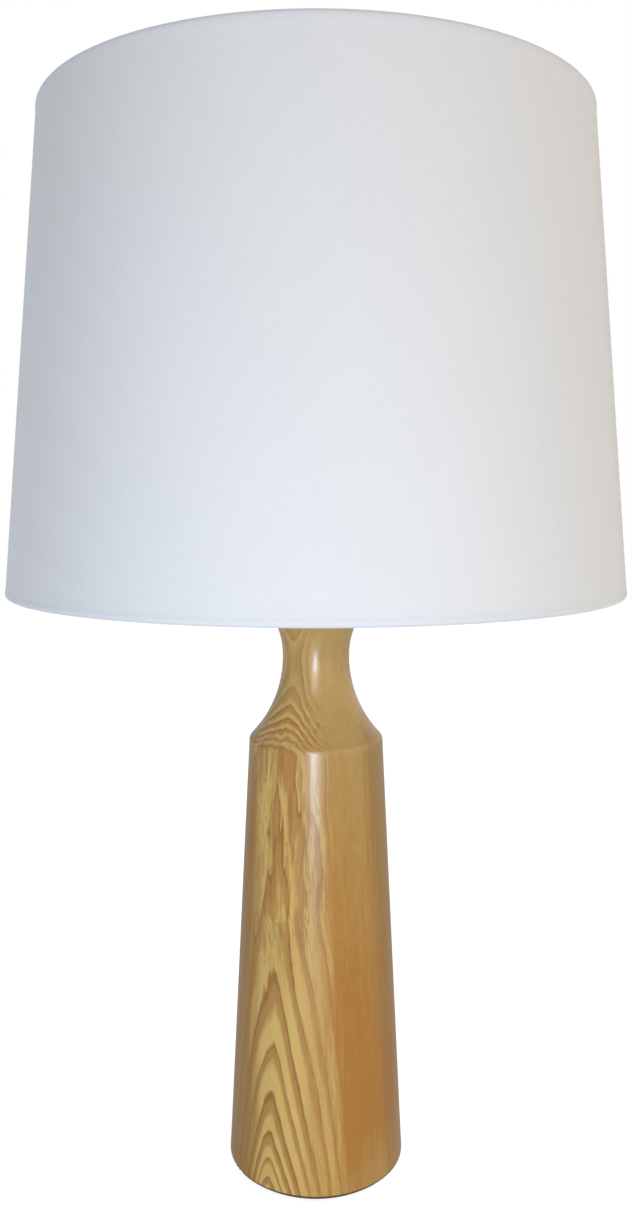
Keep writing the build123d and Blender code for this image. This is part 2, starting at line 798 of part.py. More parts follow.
def shade_fabric():
    """The cloth: one conical sheet, rolled over the two ring wires and lapped along a seam at the back."""
    low = rim_radius
    high = wall_length - rim_radius
    cloth = fabric_thickness
    turned_in = rim_thickness - cloth
    face = flat(
        Line(wall_point(low, 0), wall_point(high, 0)),
        ThreePointArc(
            wall_point(high, 0), wall_point(wall_length, rim_radius), wall_point(high, rim_thickness)
        ),
        Polyline(
            wall_point(high, rim_thickness),
            wall_point(high - hem_depth, rim_thickness),
            wall_point(high - hem_depth, turned_in),
            wall_point(high, turned_in),
        ),
        ThreePointArc(
            wall_point(high, turned_in), wall_point(wall_length - cloth, rim_radius), wall_point(high, cloth)
        ),
        Line(wall_point(high, cloth), wall_point(low, cloth)),
        ThreePointArc(wall_point(low, cloth), wall_point(cloth, rim_radius), wall_point(low, turned_in)),
        Polyline(
            wall_point(low, turned_in),
            wall_point(low + hem_depth, turned_in),
            wall_point(low + hem_depth, rim_thickness),
            wall_point(low, rim_thickness),
        ),
        ThreePointArc(wall_point(low, rim_thickness), wall_point(0, rim_radius), wall_point(low, 0)),
    )
    cloth_sheet = revolve(face, Axis.Z)
    ring_centre = top_ring_centre()
    width = 2 * (spider_arm_radius + spider_arm_slit)
    slit_top = ring_centre.Z + spider_arm_radius
    for angle in arm_angles():
        slit = Box(rim_thickness, width, 2 * hem_depth, align=(Align.MAX, Align.CENTER, Align.MAX))
        cloth_sheet -= Rot(0, 0, angle) * Pos(ring_centre.X, 0, slit_top) * slit
    seam_turn = degrees(seam_width / shade_bottom_radius)
    seam_face = flat(
        Polyline(
            wall_point(low, cloth / 2),
            wall_point(low, -seam_thickness),
            wall_point(high, -seam_thickness),
            wall_point(high, cloth / 2),
            close=True,
        )
    )
    seam = Rot(0, 0, 90 - seam_turn / 2) * revolve(seam_face, Axis.Z, revolution_arc=seam_turn)
    return cloth_sheet + seam


def shade_liner():
    """The stiff plastic panel that the cloth is bonded to."""
    low = rim_radius
    high = wall_length - rim_radius
    near = fabric_thickness
    far = fabric_thickness + liner_thickness
    outer_side = (wall_point(low, near), wall_point(high, near))
    inner_side = (wall_point(high, far), wall_point(low, far))
    return turned(Polyline(*outer_side, *inner_side, close=True))


def top_ring_centre():
    """The middle of the top ring's wire, in the rolled edge."""
    return wall_point(wall_length - rim_radius, ring_depth)


def bottom_ring_centre():
    """The middle of the bottom ring's wire, in the rolled edge."""
    return wall_point(rim_radius, ring_depth)


def ring_wire(centre):
    """A wire ring on the lamp's axis."""
    return Pos(0, 0, centre.Z) * Torus(centre.X, ring_wire_radius)


def arm_angles():
    """The spider's arms: one straight back, and the others evenly round from it."""
    return [90 + n * 360 / spider_arms_count for n in range(spider_arms_count)]


def spider_arms():
    """The spider's wires, from the hub out and up to the top ring."""
    arm_z = hub_top + spider_arm_radius - weld_sink
    ring_centre = top_ring_centre()
    reach = ring_centre.X - (ring_wire_radius - weld_sink)
    path = FilletPolyline(
        rz(spider_arm_start, arm_z),
        rz(spider_arm_bend, arm_z),
        rz(reach, ring_centre.Z),
        radius=spider_arm_bend_radius,
    )
    arm = wire_along(path, spider_arm_radius)
    return [Rot(0, 0, angle) * arm for angle in arm_angles()]


def spider_hub():
    """The washer at the middle of the spider, which sits on the harp's plate."""
    return tube(spider_hub_radius, spider_hub_hole_radius, shade_seat, spider_hub_thickness)


# ---------------------------------------------------------------- finial
def finial_insert():
    """The finial's brass insert, with a flange that clamps the spider's hub."""
    bore = stud_radius + running_gap
    outer = bore + insert_wall
    flange = tube(insert_flange_radius, bore, finial_z, insert_flange_thickness)
    return flange + tube(outer, bore, finial_z, insert_length)


def finial_knob():
    """The turned ash finial: a base bead, a waist and a ball."""
    bottom = finial_z + insert_flange_thickness
    bore = stud_radius + running_gap + insert_wall + fit_gap
    bore_top = finial_z + insert_length
    stud_top = max(bore_top, shade_seat + stud_length + resting_gap)
    top = finial_z + finial_height
    ball_z = top - finial_ball_radius
    waist_z = bottom + finial_waist_height
    reach = sqrt(finial_ball_radius**2 - finial_waist_radius**2)
    base_top = bottom + finial_base_height
    outline = [
        Polyline(rz(bore, bottom), rz(finial_waist_radius, bottom)),
        ThreePointArc(
            rz(finial_waist_radius, bottom),
            rz(finial_base_radius, bottom + finial_base_height / 2),
            rz(finial_waist_radius, base_top),
        ),
        Line(rz(finial_waist_radius, base_top), rz(finial_waist_radius, ball_z - reach)),
        ThreePointArc(rz(finial_waist_radius, ball_z - reach), rz(finial_ball_radius, ball_z), rz(0, top)),
        Polyline(rz(0, top), rz(0, stud_top), rz(bore, stud_top), rz(bore, bottom)),
    ]
    return turned(*outline)


nodes = {
    "column": column(),
    "foot_felt": foot_felt(),
    "cord_bush": cord_bush(),
    "base_washer": base_washer(),
    "base_lock_washer": base_lock_washer(),
    "base_nut": hex_nut(base_nut_flats, base_nut_z, base_nut_thickness),
    "lamp_pipe": lamp_pipe(),
    "seat_cap": seat_cap(),
    "neck_spacer": neck_spacer(),
    "harp_saddle": harp_saddle(),
    "saddle_nut": hex_nut(saddle_nut_flats, saddle_top, saddle_nut_thickness),
    "socket_cap": socket_cap(),
    "socket_set_screw": socket_set_screw(),
    "socket_shell": socket_shell(),
    "socket_liner": socket_liner(),
    "socket_body": socket_body(),
    "terminal_screws": terminal_screws(),
    "screw_shell": screw_shell(),
    "centre_contact": centre_contact(),
    "switch_shaft": switch_shaft(),
    "switch_rotor": switch_rotor(),
    "switch_knob": switch_knob(),
    "bulb_glass": bulb_glass(),
    "bulb_screw_cap": bulb_screw_cap(),
    "bulb_insulator": bulb_insulator(),
    "bulb_contact": bulb_contact(),
    "harp_loop": harp_loop(),
    "harp_stud": harp_stud(),
    "harp_ferrule_left": harp_ferrule(-1),
    "harp_ferrule_right": harp_ferrule(1),
    "shade_fabric": shade_fabric(),
    "shade_liner": shade_liner(),
    "shade_top_ring": ring_wire(top_ring_centre()),
    "shade_bottom_ring": ring_wire(bottom_ring_centre()),
    "spider_arms": Compound(children=spider_arms()),
    "spider_hub": spider_hub(),
    "finial_insert": finial_insert(),
    "finial_knob": finial_knob(),
}
for name, shape in nodes.items():
    export_step(shape, f"parts/{name}.step")
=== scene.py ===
from math import cos, e, pi, sin, sqrt, tau

import bpy
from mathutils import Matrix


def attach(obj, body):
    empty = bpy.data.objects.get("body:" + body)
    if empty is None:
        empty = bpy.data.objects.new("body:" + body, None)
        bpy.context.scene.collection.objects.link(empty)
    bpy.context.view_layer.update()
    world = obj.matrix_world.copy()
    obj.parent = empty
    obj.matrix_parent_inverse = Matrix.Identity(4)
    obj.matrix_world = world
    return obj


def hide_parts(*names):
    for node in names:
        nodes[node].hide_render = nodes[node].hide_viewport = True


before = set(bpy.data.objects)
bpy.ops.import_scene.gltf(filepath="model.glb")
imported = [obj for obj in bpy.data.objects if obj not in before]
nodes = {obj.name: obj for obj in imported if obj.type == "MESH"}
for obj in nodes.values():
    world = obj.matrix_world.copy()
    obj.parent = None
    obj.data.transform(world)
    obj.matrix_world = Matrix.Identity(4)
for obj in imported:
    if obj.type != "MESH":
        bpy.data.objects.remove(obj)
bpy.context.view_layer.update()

# ---------------------------------------------------------------- photographer's table
# The lamp stands on a pale table top before a white wall. The camera is 73 cm away, level with the shade's
# lower half, and looks a little down. Behind it, a little to its left, hang a tall softbox and, lower, a
# smaller and bluer light.
scene = bpy.context.scene
scene.view_settings.view_transform = "Standard"
camera_distance = 0.73266
camera_height = 0.46840
camera_tilt = 0.0852


def added(name, data):
    """A new object of some data, in the scene."""
    thing = bpy.data.objects.new(name, data)
    scene.collection.objects.link(thing)
    return thing


camera = added("camera", bpy.data.cameras.new("camera"))
camera.location = (0, -camera_distance, camera_height)
camera.rotation_euler = (pi / 2 - camera_tilt, 0, 0)
camera.data.sensor_width = 36
camera.data.lens = 32.27
camera.data.shift_y = -0.0219
scene.camera = camera


def soft_light(name, width, height, power, tint, spot):
    """A rectangle of light that faces the lamp's front and that the camera doesn't see."""
    light = added(name, bpy.data.lights.new(name, "AREA"))
    light.data.shape = "RECTANGLE"
    light.data.size = width
    light.data.size_y = height
    light.data.energy = power
    light.data.color = tint
    light.location = spot
    light.rotation_euler = (pi / 2, 0, 0)
    light.visible_camera = False


rosy_white = (1.0, 0.88, 0.88)
sky_white = (0.58, 0.80, 1.0)
soft_light("softbox", width=0.33, height=0.50, power=1.57, tint=rosy_white, spot=(-0.045, -0.95, 0.385))
soft_light("window", width=0.17, height=0.30, power=2.1, tint=sky_white, spot=(-0.045, -0.94, 0.20))


class Signal:
    """An output in a tree of nodes. Arithmetic on it adds Math nodes, and node() adds any other node."""

    def __init__(self, tree, socket=None):
        self.tree = tree
        self.socket = socket

    def node(self, kind, settings, sockets, output=0):
        """A new node, with its settings and then its sockets' values or links; gives one of its outputs."""
        made = self.tree.nodes.new(kind)
        for setting, value in settings.items():
            if setting == "stops":
                ramp = made.color_ramp.elements
                while len(ramp) < len(value):
                    ramp.new(1.0)
                for stop, (place, colour) in zip(ramp, value):
                    stop.position = place
                    stop.color = colour
            else:
                setattr(made, setting, value)
        for name, value in sockets.items():
            if isinstance(value, Signal):
                self.tree.links.new(value.socket, made.inputs[name])
            else:
                made.inputs[name].default_value = value
        return Signal(self.tree, made.outputs[output]) if made.outputs else None

    def maths(self, operation, *values):
        return self.node("ShaderNodeMath", {"operation": operation}, dict(enumerate(values)))

    def __add__(self, other):
        return self.maths("ADD", self, other)

    def __radd__(self, other):
        return self.maths("ADD", other, self)

    def __sub__(self, other):
        return self.maths("SUBTRACT", self, other)

    def __rsub__(self, other):
        return self.maths("SUBTRACT", other, self)

    def __mul__(self, other):
        return self.maths("MULTIPLY", self, other)

    def __rmul__(self, other):
        return self.maths("MULTIPLY", other, self)

    def __truediv__(self, other):
        return self.maths("DIVIDE", self, other)

    def __rtruediv__(self, other):
        return self.maths("DIVIDE", other, self)

    def __pow__(self, other):
        return self.maths("POWER", self, other)

    def sine(self):
        return self.maths("SINE", self)

    def cosine(self):
        return self.maths("COSINE", self)

    def at_least(self, low):
        return self.maths("MAXIMUM", self, low)

    def at_most(self, high):
        return self.maths("MINIMUM", self, high)

    def past(self, level):
        """1 where it is over a level, and 0 elsewhere."""
        return self.maths("GREATER_THAN", self, level)

    def clamped(self, low, high):
        """It, held between two values."""
        return self.at_least(low).at_most(high)

    def rising(self, start, length, top=1.0):
        """A share, 0 at a start and 1 a length further on, or further back where the length is negative."""
        return ((self - start) / length).clamped(0.0, top)

    def part(self, axis):
        """One of the three parts of a vector."""
        return self.node("ShaderNodeSeparateXYZ", {}, {0: self}, axis)

    def mixed(self, first, second):
        """It as the share of the second colour in a mix of two."""
        return self.node("ShaderNodeMix", {"data_type": "RGBA"}, {0: self, 6: first, 7: second}, 2)


def shade_of(red, green, blue):
    """A colour as it is on a paint chart, 0 to 255, as Blender's linear light."""
    return tuple(((c / 255 + 0.055) / 1.055) ** 2.4 for c in (red, green, blue)) + (1.0,)


cool_wall = (0.74, 0.895, 1.0, 1.0)
warm_wall = (1.17, 0.95, 0.70, 1.0)
late_warmth = 1.6  # a power, past 1 where the wall turns warm late on its way to the right
wall_level = 0.405
wall_right = 0.29
wall_front = 0.16
wall_back = 0.24
band_light = 0.16
band_middle = 0.2  # a direction's upward part, a little over the horizon
band_fall = 4.0

world = bpy.data.worlds.new("white studio")
world.use_nodes = True
world.node_tree.nodes.clear()
room = Signal(world.node_tree)
direction = room.node("ShaderNodeTexCoord", {}, {}, "Generated")
to_the_right = (0.5 + 0.5 * direction.part(0)).clamped(0, 1) ** late_warmth
off_band = band_middle - direction.part(2)
wall_light = (
    wall_level
    + wall_right * direction.part(0)
    - wall_front * direction.part(1)
    + band_light * (1 - band_fall * off_band * off_band).clamped(0, 1)
    + wall_back * direction.part(1).clamped(0, 1)
)
room_light = room.node(
    "ShaderNodeBackground", {}, {"Color": to_the_right.mixed(cool_wall, warm_wall), "Strength": wall_light}
)
white_wall = room.node("ShaderNodeBackground", {}, {"Color": (1, 1, 1, 1), "Strength": 1.0})
seen = room.node("ShaderNodeLightPath", {}, {}, "Is Camera Ray")
walls = room.node("ShaderNodeMixShader", {}, {0: seen, 1: room_light, 2: white_wall})
room.node("ShaderNodeOutputWorld", {}, {0: walls})
scene.world = world


def begin(name):
    """A new material with no nodes, and a point of the surface in the object's own metres."""
    material = bpy.data.materials.new(name)
    material.use_nodes = True
    material.node_tree.nodes.clear()
    return material, Signal(material.node_tree).node("ShaderNodeTexCoord", {}, {}, "Object")


def end(material, sockets):
    """Ends a material in one Principled shader with these sockets."""
    tree = Signal(material.node_tree)
    tree.node("ShaderNodeOutputMaterial", {}, {0: tree.node("ShaderNodeBsdfPrincipled", {}, sockets)})
    return material


def cloud(place, sizes, detail=2.0, roughness=0.5):
    """Soft noise around 0, about -0.5 to 0.5, whose patches have these sizes along X, Y and Z in metres."""
    scaled = place.node(
        "ShaderNodeVectorMath", {"operation": "MULTIPLY"}, {0: place, 1: [1 / size for size in sizes]}
    )
    noise = place.node(
        "ShaderNodeTexNoise", {}, {"Vector": scaled, "Scale": 1.0, "Detail": detail, "Roughness": roughness}
    )
    return noise - 0.5


def bumped(height, distance, strength=1.0):
    """A surface's normal, bumped by a height of 0 to 1 over a distance in metres."""
    return height.node("ShaderNodeBump", {}, {"Height": height, "Distance": distance, "Strength": strength})


def mesh_piece(name, points, faces):
    """A piece made of points and faces."""
    mesh = bpy.data.meshes.new(name)
    mesh.from_pydata(points, [], faces)
    mesh.update()
    return added(name, mesh)


table_half = 4.0
table_height = -0.0001  # just clear of the felt
table_glow = (0.13, 0.13, 0.13, 1)
table_glow_seen = (0.79, 0.79, 0.79, 1)  # in the picture, so that the table is as white as the wall

corner_signs = ((-1, -1), (1, -1), (1, 1), (-1, 1))
corners = [(sx * table_half, sy * table_half, table_height) for sx, sy in corner_signs]
table_top = mesh_piece("table_top", corners, [(0, 1, 2, 3)])
laminate, place = begin("pale table top")
to_camera = place.node("ShaderNodeLightPath", {}, {}, "Is Camera Ray")
table_top.data.materials.append(
    end(
        laminate,
        {
            "Base Color": (0.66, 0.66, 0.66, 1),
            "Roughness": 0.75 + 0.1 * cloud(place, (0.05, 0.05, 0.05)),
            "Specular IOR Level": 0.1,
            "Emission Color": to_camera.mixed(table_glow, table_glow_seen),
            "Emission Strength": 1.0,
        },
    )
)

# ---------------------------------------------------------------- foot felt
# A ring of dark wool felt, 2 mm thick, cut from one piece and glued under the foot so that the lamp doesn't
# scratch the table. It stays 3 mm inside the column's edge and clear of the recess.
felt_outer = 0.0575
felt_inner = 0.0325
felt_top = 0.002
felt_edge_round = 0.0005
felt_segments = 240


def lathe(name, outline, segments):
    """A ring turned about the Z axis from a closed outline of (radius, height), its right side out."""
    count = len(outline)
    points = []
    faces = []
    for n in range(segments):
        turn = tau * n / segments
        points += [(r * cos(turn), r * sin(turn), z) for r, z in outline]
        here, there = n * count, (n + 1) % segments * count
        for k in range(count):
            after = (k + 1) % count
            faces.append((here + k, there + k, there + after, here + after))
    piece = mesh_piece(name, points, faces)
    piece.data.shade_smooth()
    return piece


felt_outline = [
    (felt_inner, 0.0),
    (felt_outer - felt_edge_round, 0.0),
    (felt_outer, felt_edge_round),
    (felt_outer, felt_top - felt_edge_round),
    (felt_outer, felt_top),
    (felt_inner, felt_top),
    (felt_inner, felt_top / 2),
]
felt_ring = lathe("felt_ring", felt_outline, felt_segments)
wool, place = begin("dark wool felt")
fibres = cloud(place, (0.0006, 0.0006, 0.0006), 4.0, 0.7)
worn_felt = 0.5 + fibres + cloud(place, (0.012, 0.012, 0.012))
felt_ring.data.materials.append(
    end(
        wool,
        {
            "Base Color": worn_felt.mixed(shade_of(44, 38, 35), shade_of(82, 72, 66)),
            "Roughness": 0.95,
            "Specular IOR Level": 0.15,
            "Normal": bumped(fibres, 0.0004),
        },
    )
)
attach(felt_ring, "base")
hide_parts("foot_felt")

# ---------------------------------------------------------------- turned column
# One turned piece of ash, glued up from a boldly figured board on the left and a plain one on the right,
# sanded and finished in satin lacquer. The figure is the board's own growth rings, cut by the lathe.
ash_pale = shade_of(228, 190, 108)
ash_tan = shade_of(187, 134, 61)
ash_dark = shade_of(156, 98, 36)
ash_line = shade_of(172, 122, 54)
ash_worn = shade_of(200, 164, 98)
ash_rift = shade_of(174, 122, 46)
# painted shade for the plain board's far side
painted_side_shade = shade_of(144, 100, 28)
ash_plain_orange = shade_of(181, 123, 42)
ash_plain_yellow = shade_of(190, 154, 86)
# The last colour is a painted shadow along the foot's lower edge.
painted_foot_shadow = shade_of(66, 38, 16)

# All of the figure's places are in millimetres: x to the right, y to the back and z up from the table.
millimetre = 1000.0
shoulder = 290.0
cove = 294.0
wild_flank = 120.0
figured_ash, place = begin("figured ash")
mm = place.node("ShaderNodeVectorMath", {"operation": "SCALE"}, {0: place, "Scale": millimetre})
x, y, z = (mm.part(axis) for axis in range(3))
up_the_flank = z.rising(wild_flank, 60.0)
in_cove = z.rising(cove, 5.0)
beside_arches = x.rising(-10.0, 12.0, 0.7)
calm_cove = 1.0 - 0.75 * z.rising(shoulder, 20.0)
wildness = up_the_flank.at_least(beside_arches) * calm_cove

# The rings of the figured board: arcs about a pith that lies behind on the right and leans as it rises. They
# drop on both sides of a crest, which is where the arches peak, and grow closer with age.
pith_distance = 150.0
pith_foot = (72.3, 131.4)
pith_lean = (0.0895, -0.0633)
across, back = (part - (pith_foot[n] + pith_lean[n] * z) for n, part in enumerate((x, y)))
crest_foot = -33.7
crest_lean = 0.0538
crest_width = 9.0
crest_depth = 1.6 + 2.6 * in_cove
from_crest = x - (crest_lean * z + crest_foot)
crest_drop = crest_depth * from_crest * from_crest / (from_crest * from_crest + crest_width**2)
age = (across * across + back * back) ** 0.5 - pith_distance - crest_drop
wide_ring = 5.3
narrowing_from = 44.0
narrowing_for = 17.5
narrowing = 0.2875
late = (age - narrowing_from).clamped(0.0, narrowing_for)
narrowed = wide_ring / (wide_ring - narrowing * late)
rings = age.at_most(narrowing_from) / wide_ring + narrowed.maths("LOGARITHM", narrowed, e) / narrowing

# What the tree's life did to them: a slow wander, flames that lean to the right as they rise, and a waver.
flame_lean = 0.16
leaning_up_to = 0.190  # in metres, like the noises' own sizes
lean = flame_lean * place.part(2).at_most(leaning_up_to)
leaning = place.node(
    "ShaderNodeCombineXYZ", {}, {0: place.part(0) + lean, 1: place.part(1), 2: place.part(2)}
)
wander = cloud(place, (0.018, 0.018, 0.050), 1.5)
flames = cloud(leaning, (0.0060, 0.0060, 0.085), 2.5, 0.6)
waver = cloud(place, (0.0030, 0.0030, 0.012), 2.0)
first_ring = 10.302
ring_share = 0.954
ring_shift_above = 0.45 * z.rising(190.0, 50.0)
ring_number = (
    (rings - first_ring) / ring_share
    + wander * (0.34 + 0.8 * up_the_flank * calm_cove)
    + flames * (0.12 + 1.3 * wildness)
    + waver * 0.16
    + ring_shift_above
)
shoulder_ring = -1.8
finer_in_cove = 0.45
ring_number = ring_number + finer_in_cove * in_cove * (ring_number - shoulder_ring)

# The colour through each year, from the dark line that ends one to the dark line that ends the next.
year = ring_number.maths("FLOOR", ring_number)
chance = year.node("ShaderNodeTexWhiteNoise", {"noise_dimensions": "1D"}, {"W": year})
through_year = (ring_number - year) ** ((0.7 + 1.0 * chance) * (1.0 + 0.5 * up_the_flank))
year_stops = [
    (0.0, ash_dark),
    (0.03, ash_dark),
    (0.08, ash_tan),
    (0.24, ash_tan),
    (0.46, ash_pale),
    (0.90, ash_pale),
    (0.98, ash_tan),
    (1.0, ash_dark),
]
year_colour = through_year.node("ShaderNodeValToRGB", {"stops": year_stops}, {0: through_year})
fibre = cloud(place, (0.0011, 0.0011, 0.03), 3.0)
streak = cloud(place, (0.004, 0.004, 0.12), 2.0)
tongues = cloud(leaning, (0.0075, 0.0075, 0.085), 2.5, 0.55)
dark_tongues = cloud(leaning, (0.0042, 0.0042, 0.050), 2.5, 0.6)
fine_lines = ring_number.node(
    "ShaderNodeTexNoise", {"noise_dimensions": "1D"}, {"W": ring_number, "Scale": 8.5, "Detail": 2.0}
)
tongue_share = (0.30 + 3.2 * tongues + 0.8 * fibre).clamped(0, 1) * 0.8 * wildness
dark_share = (10.0 * dark_tongues - 0.45 + 1.2 * fibre).clamped(0, 1) * 0.75 * wildness * up_the_flank
beside_share = 0.30 * x.rising(-14.0, 12.0) * z.rising(250.0, -40.0)
line_share = (3.2 * (fine_lines - 0.49)).clamped(0, 0.65) * wildness
worn_share = (0.16 + 0.46 * z.rising(312.0, 16.0) + 0.55 * fibre + 0.4 * streak).clamped(0, 1)
rift_share = ((-37.0 - x) / 8.0 + 1.5 * streak).clamped(0, 1) * 0.85
figured = tongue_share.mixed(year_colour, ash_tan)
figured = dark_share.mixed(figured, ash_dark)
figured = beside_share.mixed(figured, ash_tan)
figured = line_share.mixed(figured, ash_line)
figured = worn_share.mixed(figured, ash_worn)
figured = rift_share.mixed(figured, ash_rift)

# The plain board on the right, whose straight rings only show as fine streaks. It is yellower to the right,
# towards the top and at the foot, and darker along its far side, where the darkening is painted shade.
mottle = cloud(place, (0.004, 0.004, 0.009), 3.0)
at_foot = z.rising(50.0, -50.0)
yellow_share = 0.15 + (x - 25.0) / 70.0 + (z - 150.0) / 190.0 + 1.2 * at_foot
yellow_share = (yellow_share + 0.7 * streak + 0.5 * fibre + 0.8 * mottle).clamped(0, 1)
above_shoulder = z.rising(shoulder, 12.0) * (0.5 + 1.4 * fibre + 0.9 * streak).clamped(0, 1)
# Painted shade: a band along the right-hand edge of the column is darkened.
side_share = ((x + 0.06 * z - 46.0) / 14.0 + streak).clamped(0, 0.5)
plain = yellow_share.mixed(ash_plain_orange, ash_plain_yellow)
plain = above_shoulder.mixed(plain, ash_worn)
plain = side_share.mixed(plain, painted_side_shade)

# The glue line leans to the left as it rises, and steps to the left in the cove. A thin painted shadow darkens
# the lower edge of the foot, and the open pores are darker too.
glue_foot = 18.5
glue_lean = 0.052
glue_step = 4.5
glue_streaks = 26.0
glue_width = 11.0
foot_shadow_top = 4.1
foot_shadow_fade = 0.6
from_glue = x + glue_lean * z - glue_foot + glue_step * in_cove + glue_streaks * streak
wood_colour = (from_glue / glue_width + 0.5).clamped(0, 1).mixed(figured, plain)
# Painted shadow: a thin dark band along the foot's lower edge.
wood_colour = z.rising(foot_shadow_top, -foot_shadow_fade, 0.9).mixed(wood_colour, painted_foot_shadow)
pore = ((cloud(place, (0.00035, 0.00035, 0.006), 2.0) - 0.13) * 9.0).clamped(0, 1)
wood_colour = (0.35 * pore).mixed(wood_colour, ash_dark)
end(
    figured_ash,
    {
        "Base Color": wood_colour,
        "Roughness": 0.29 - 0.06 * z.rising(305.0, 20.0) + 0.08 * fibre,
        "Specular IOR Level": 0.68,
        "Coat Weight": 0.5 * z.rising(240.0, 60.0),
        "Coat Roughness": 0.22,
        "Normal": bumped(1 - pore, 0.00005, 0.5),
    },
)


def finished(material, *names):
    """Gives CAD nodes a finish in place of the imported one."""
    for name in names:
        for material_slot in nodes[name].material_slots:
            material_slot.material = material


finished(figured_ash, "column")

# ---------------------------------------------------------------- cord bush
# A black moulded bush, pressed into the cord's hole at the back of the foot until its flange meets the wood.


def moulded(name, colour, worn, roughness, grain, painted_glow=0.0):
    """A moulded or painted finish, finely grained at a size in metres, with worn patches and any painted glow.
    """
    material, place = begin(name)
    texture = cloud(place, (grain, grain, grain), 2.0)
    wear = cloud(place, (0.009, 0.009, 0.009), 3.0)
    return end(
        material,
        {
            "Base Color": (0.35 + 1.1 * wear + 0.5 * texture).clamped(0, 1).mixed(colour, worn),
            "Roughness": roughness + 0.15 * wear + 0.10 * texture,
            "Normal": bumped(0.5 + texture, 0.00006, 0.4),
            "Emission Color": (1.0, 0.98, 0.95, 1),
            "Emission Strength": painted_glow,
        },
    )


bush_black = moulded("black moulded bush", shade_of(24, 24, 25), shade_of(52, 51, 50), 0.48, 0.0004)
finished(bush_black, "cord_bush")

# ---------------------------------------------------------------- clamping nut and washers
# A broad washer, a split spring washer and a hexagon nut under the foot pull the column tight on its pipe.
# All three are zinc plated steel, dulled in patches and marked by the spanner.


def metal(name, bright, dull, roughness, mark_sizes):
    """A metal that has dulled in patches, with fine marks of given sizes along X, Y and Z from its making."""
    material, place = begin(name)
    patches = cloud(place, (0.011, 0.011, 0.011), 3.0)
    specks = cloud(place, (0.0012, 0.0012, 0.0012), 2.0)
    marks = cloud(place, mark_sizes, 3.0, 0.6)
    dulled = (0.38 + 1.4 * patches + 0.5 * specks).clamped(0, 1)
    return end(
        material,
        {
            "Base Color": dulled.mixed(bright, dull),
            "Metallic": 1.0,
            "Roughness": (roughness + 0.16 * dulled + 0.18 * marks).clamped(0.06, 0.9),
            "Normal": bumped(0.5 + marks, 0.00004, 0.5),
        },
    )


zinc = metal("zinc plate", (0.66, 0.67, 0.69, 1), (0.47, 0.48, 0.47, 1), 0.26, (0.0008, 0.0008, 0.0008))
finished(zinc, "base_washer", "base_lock_washer", "base_nut")

# ---------------------------------------------------------------- threaded pipe
# A 10 mm steel lamp pipe with a 1 mm thread rolled from end to end, through the column from the base nut up
# into the lampholder's cap. Its bore is the way of the wires.


def tree_of(name, sizes):
    """A tree of Geometry Nodes with named sizes, and a signal for each."""
    tree = bpy.data.node_groups.new(name, "GeometryNodeTree")
    tree.interface.new_socket("Geometry", in_out="OUTPUT", socket_type="NodeSocketGeometry")
    for size in sizes:
        kind = "NodeSocketMaterial" if isinstance(sizes[size], bpy.types.Material) else "NodeSocketFloat"
        tree.interface.new_socket(size, in_out="INPUT", socket_type=kind)
    given = tree.nodes.new("NodeGroupInput")
    return tree, {size: Signal(tree, given.outputs[size]) for size in sizes}


def grown(name, tree, shape, material, sizes):
    """Ends a tree in its material, sets its sizes, and gives the plain mesh that it makes."""
    start = Signal(tree)
    real = start.node("GeometryNodeRealizeInstances", {}, {0: shape})
    painted = start.node("GeometryNodeSetMaterial", {}, {"Geometry": real, "Material": material})
    start.node("NodeGroupOutput", {}, {0: painted})
    host = added(name, bpy.data.meshes.new(name + "_start"))
    modifier = host.modifiers.new(name, "NODES")
    modifier.node_group = tree
    for item in tree.interface.items_tree:
        if item.in_out == "INPUT":
            modifier[item.identifier] = sizes[item.name]
    evaluated = host.evaluated_get(bpy.context.evaluated_depsgraph_get())
    mesh = bpy.data.meshes.new_from_object(evaluated)
    host.modifiers.remove(modifier)
    host.data = mesh
    mesh.name = name
    mesh.shade_smooth()
    return host


def on_circle(radius, turn, height, middle_x=0.0):
    """A point on a level circle, from its radius, its angle and its height."""
    return turn.node(
        "ShaderNodeCombineXYZ", {}, {0: middle_x + radius * turn.cosine(), 1: radius * turn.sine(), 2: height}
    )


def threaded(name, around, rows, sizes):
    """A closed tube with a rolled thread: a grid of rows, wrapped round the outside and down the bore."""
    tree, size = tree_of(name + " thread", sizes)
    start = Signal(tree)
    grid_counts = {"Size X": 1.0, "Size Y": 1.0, "Vertices X": around + 1, "Vertices Y": rows + 4}
    grid = start.node("GeometryNodeMeshGrid", {}, grid_counts)
    spot = start.node("GeometryNodeInputPosition", {}, {})
    turn = (spot.part(0) + 0.5) * tau
    row = (spot.part(1) + 0.5) * (rows + 3)
    in_bore = row.past(rows + 0.5) - row.past(rows + 2.5)
    up = row.at_most(rows) / rows * (1 - row.past(rows + 1.5))
    above = up * (size["top"] - size["bottom"])
    below = size["top"] - size["bottom"] - above
    thread_angle = above / size["pitch"] * tau - turn
    groove = 0.5 - 0.5 * thread_angle.cosine()
    run_out = (above / size["run out"]).clamped(0, 1) * (below / size["run out"]).clamped(0, 1)
    tip = (above / size["chamfer height"]).clamped(0, 1)
    rim = (1 - below / size["flare height"]).clamped(0, 1)
    chamfered = size["tip"] + (size["crest"] - size["tip"]) * tip
    outside = chamfered - size["depth"] * groove * run_out + size["flare"] * rim
    radius = outside * (1 - in_bore) + size["bore"] * in_bore
    placed = on_circle(radius, turn, above + size["bottom"])
    rolled = start.node("GeometryNodeSetPosition", {}, {"Geometry": grid, "Position": placed})
    closed = start.node("GeometryNodeMergeByDistance", {}, {"Geometry": rolled, "Distance": 1e-6})
    return grown(name, tree, closed, size["metal"], sizes)


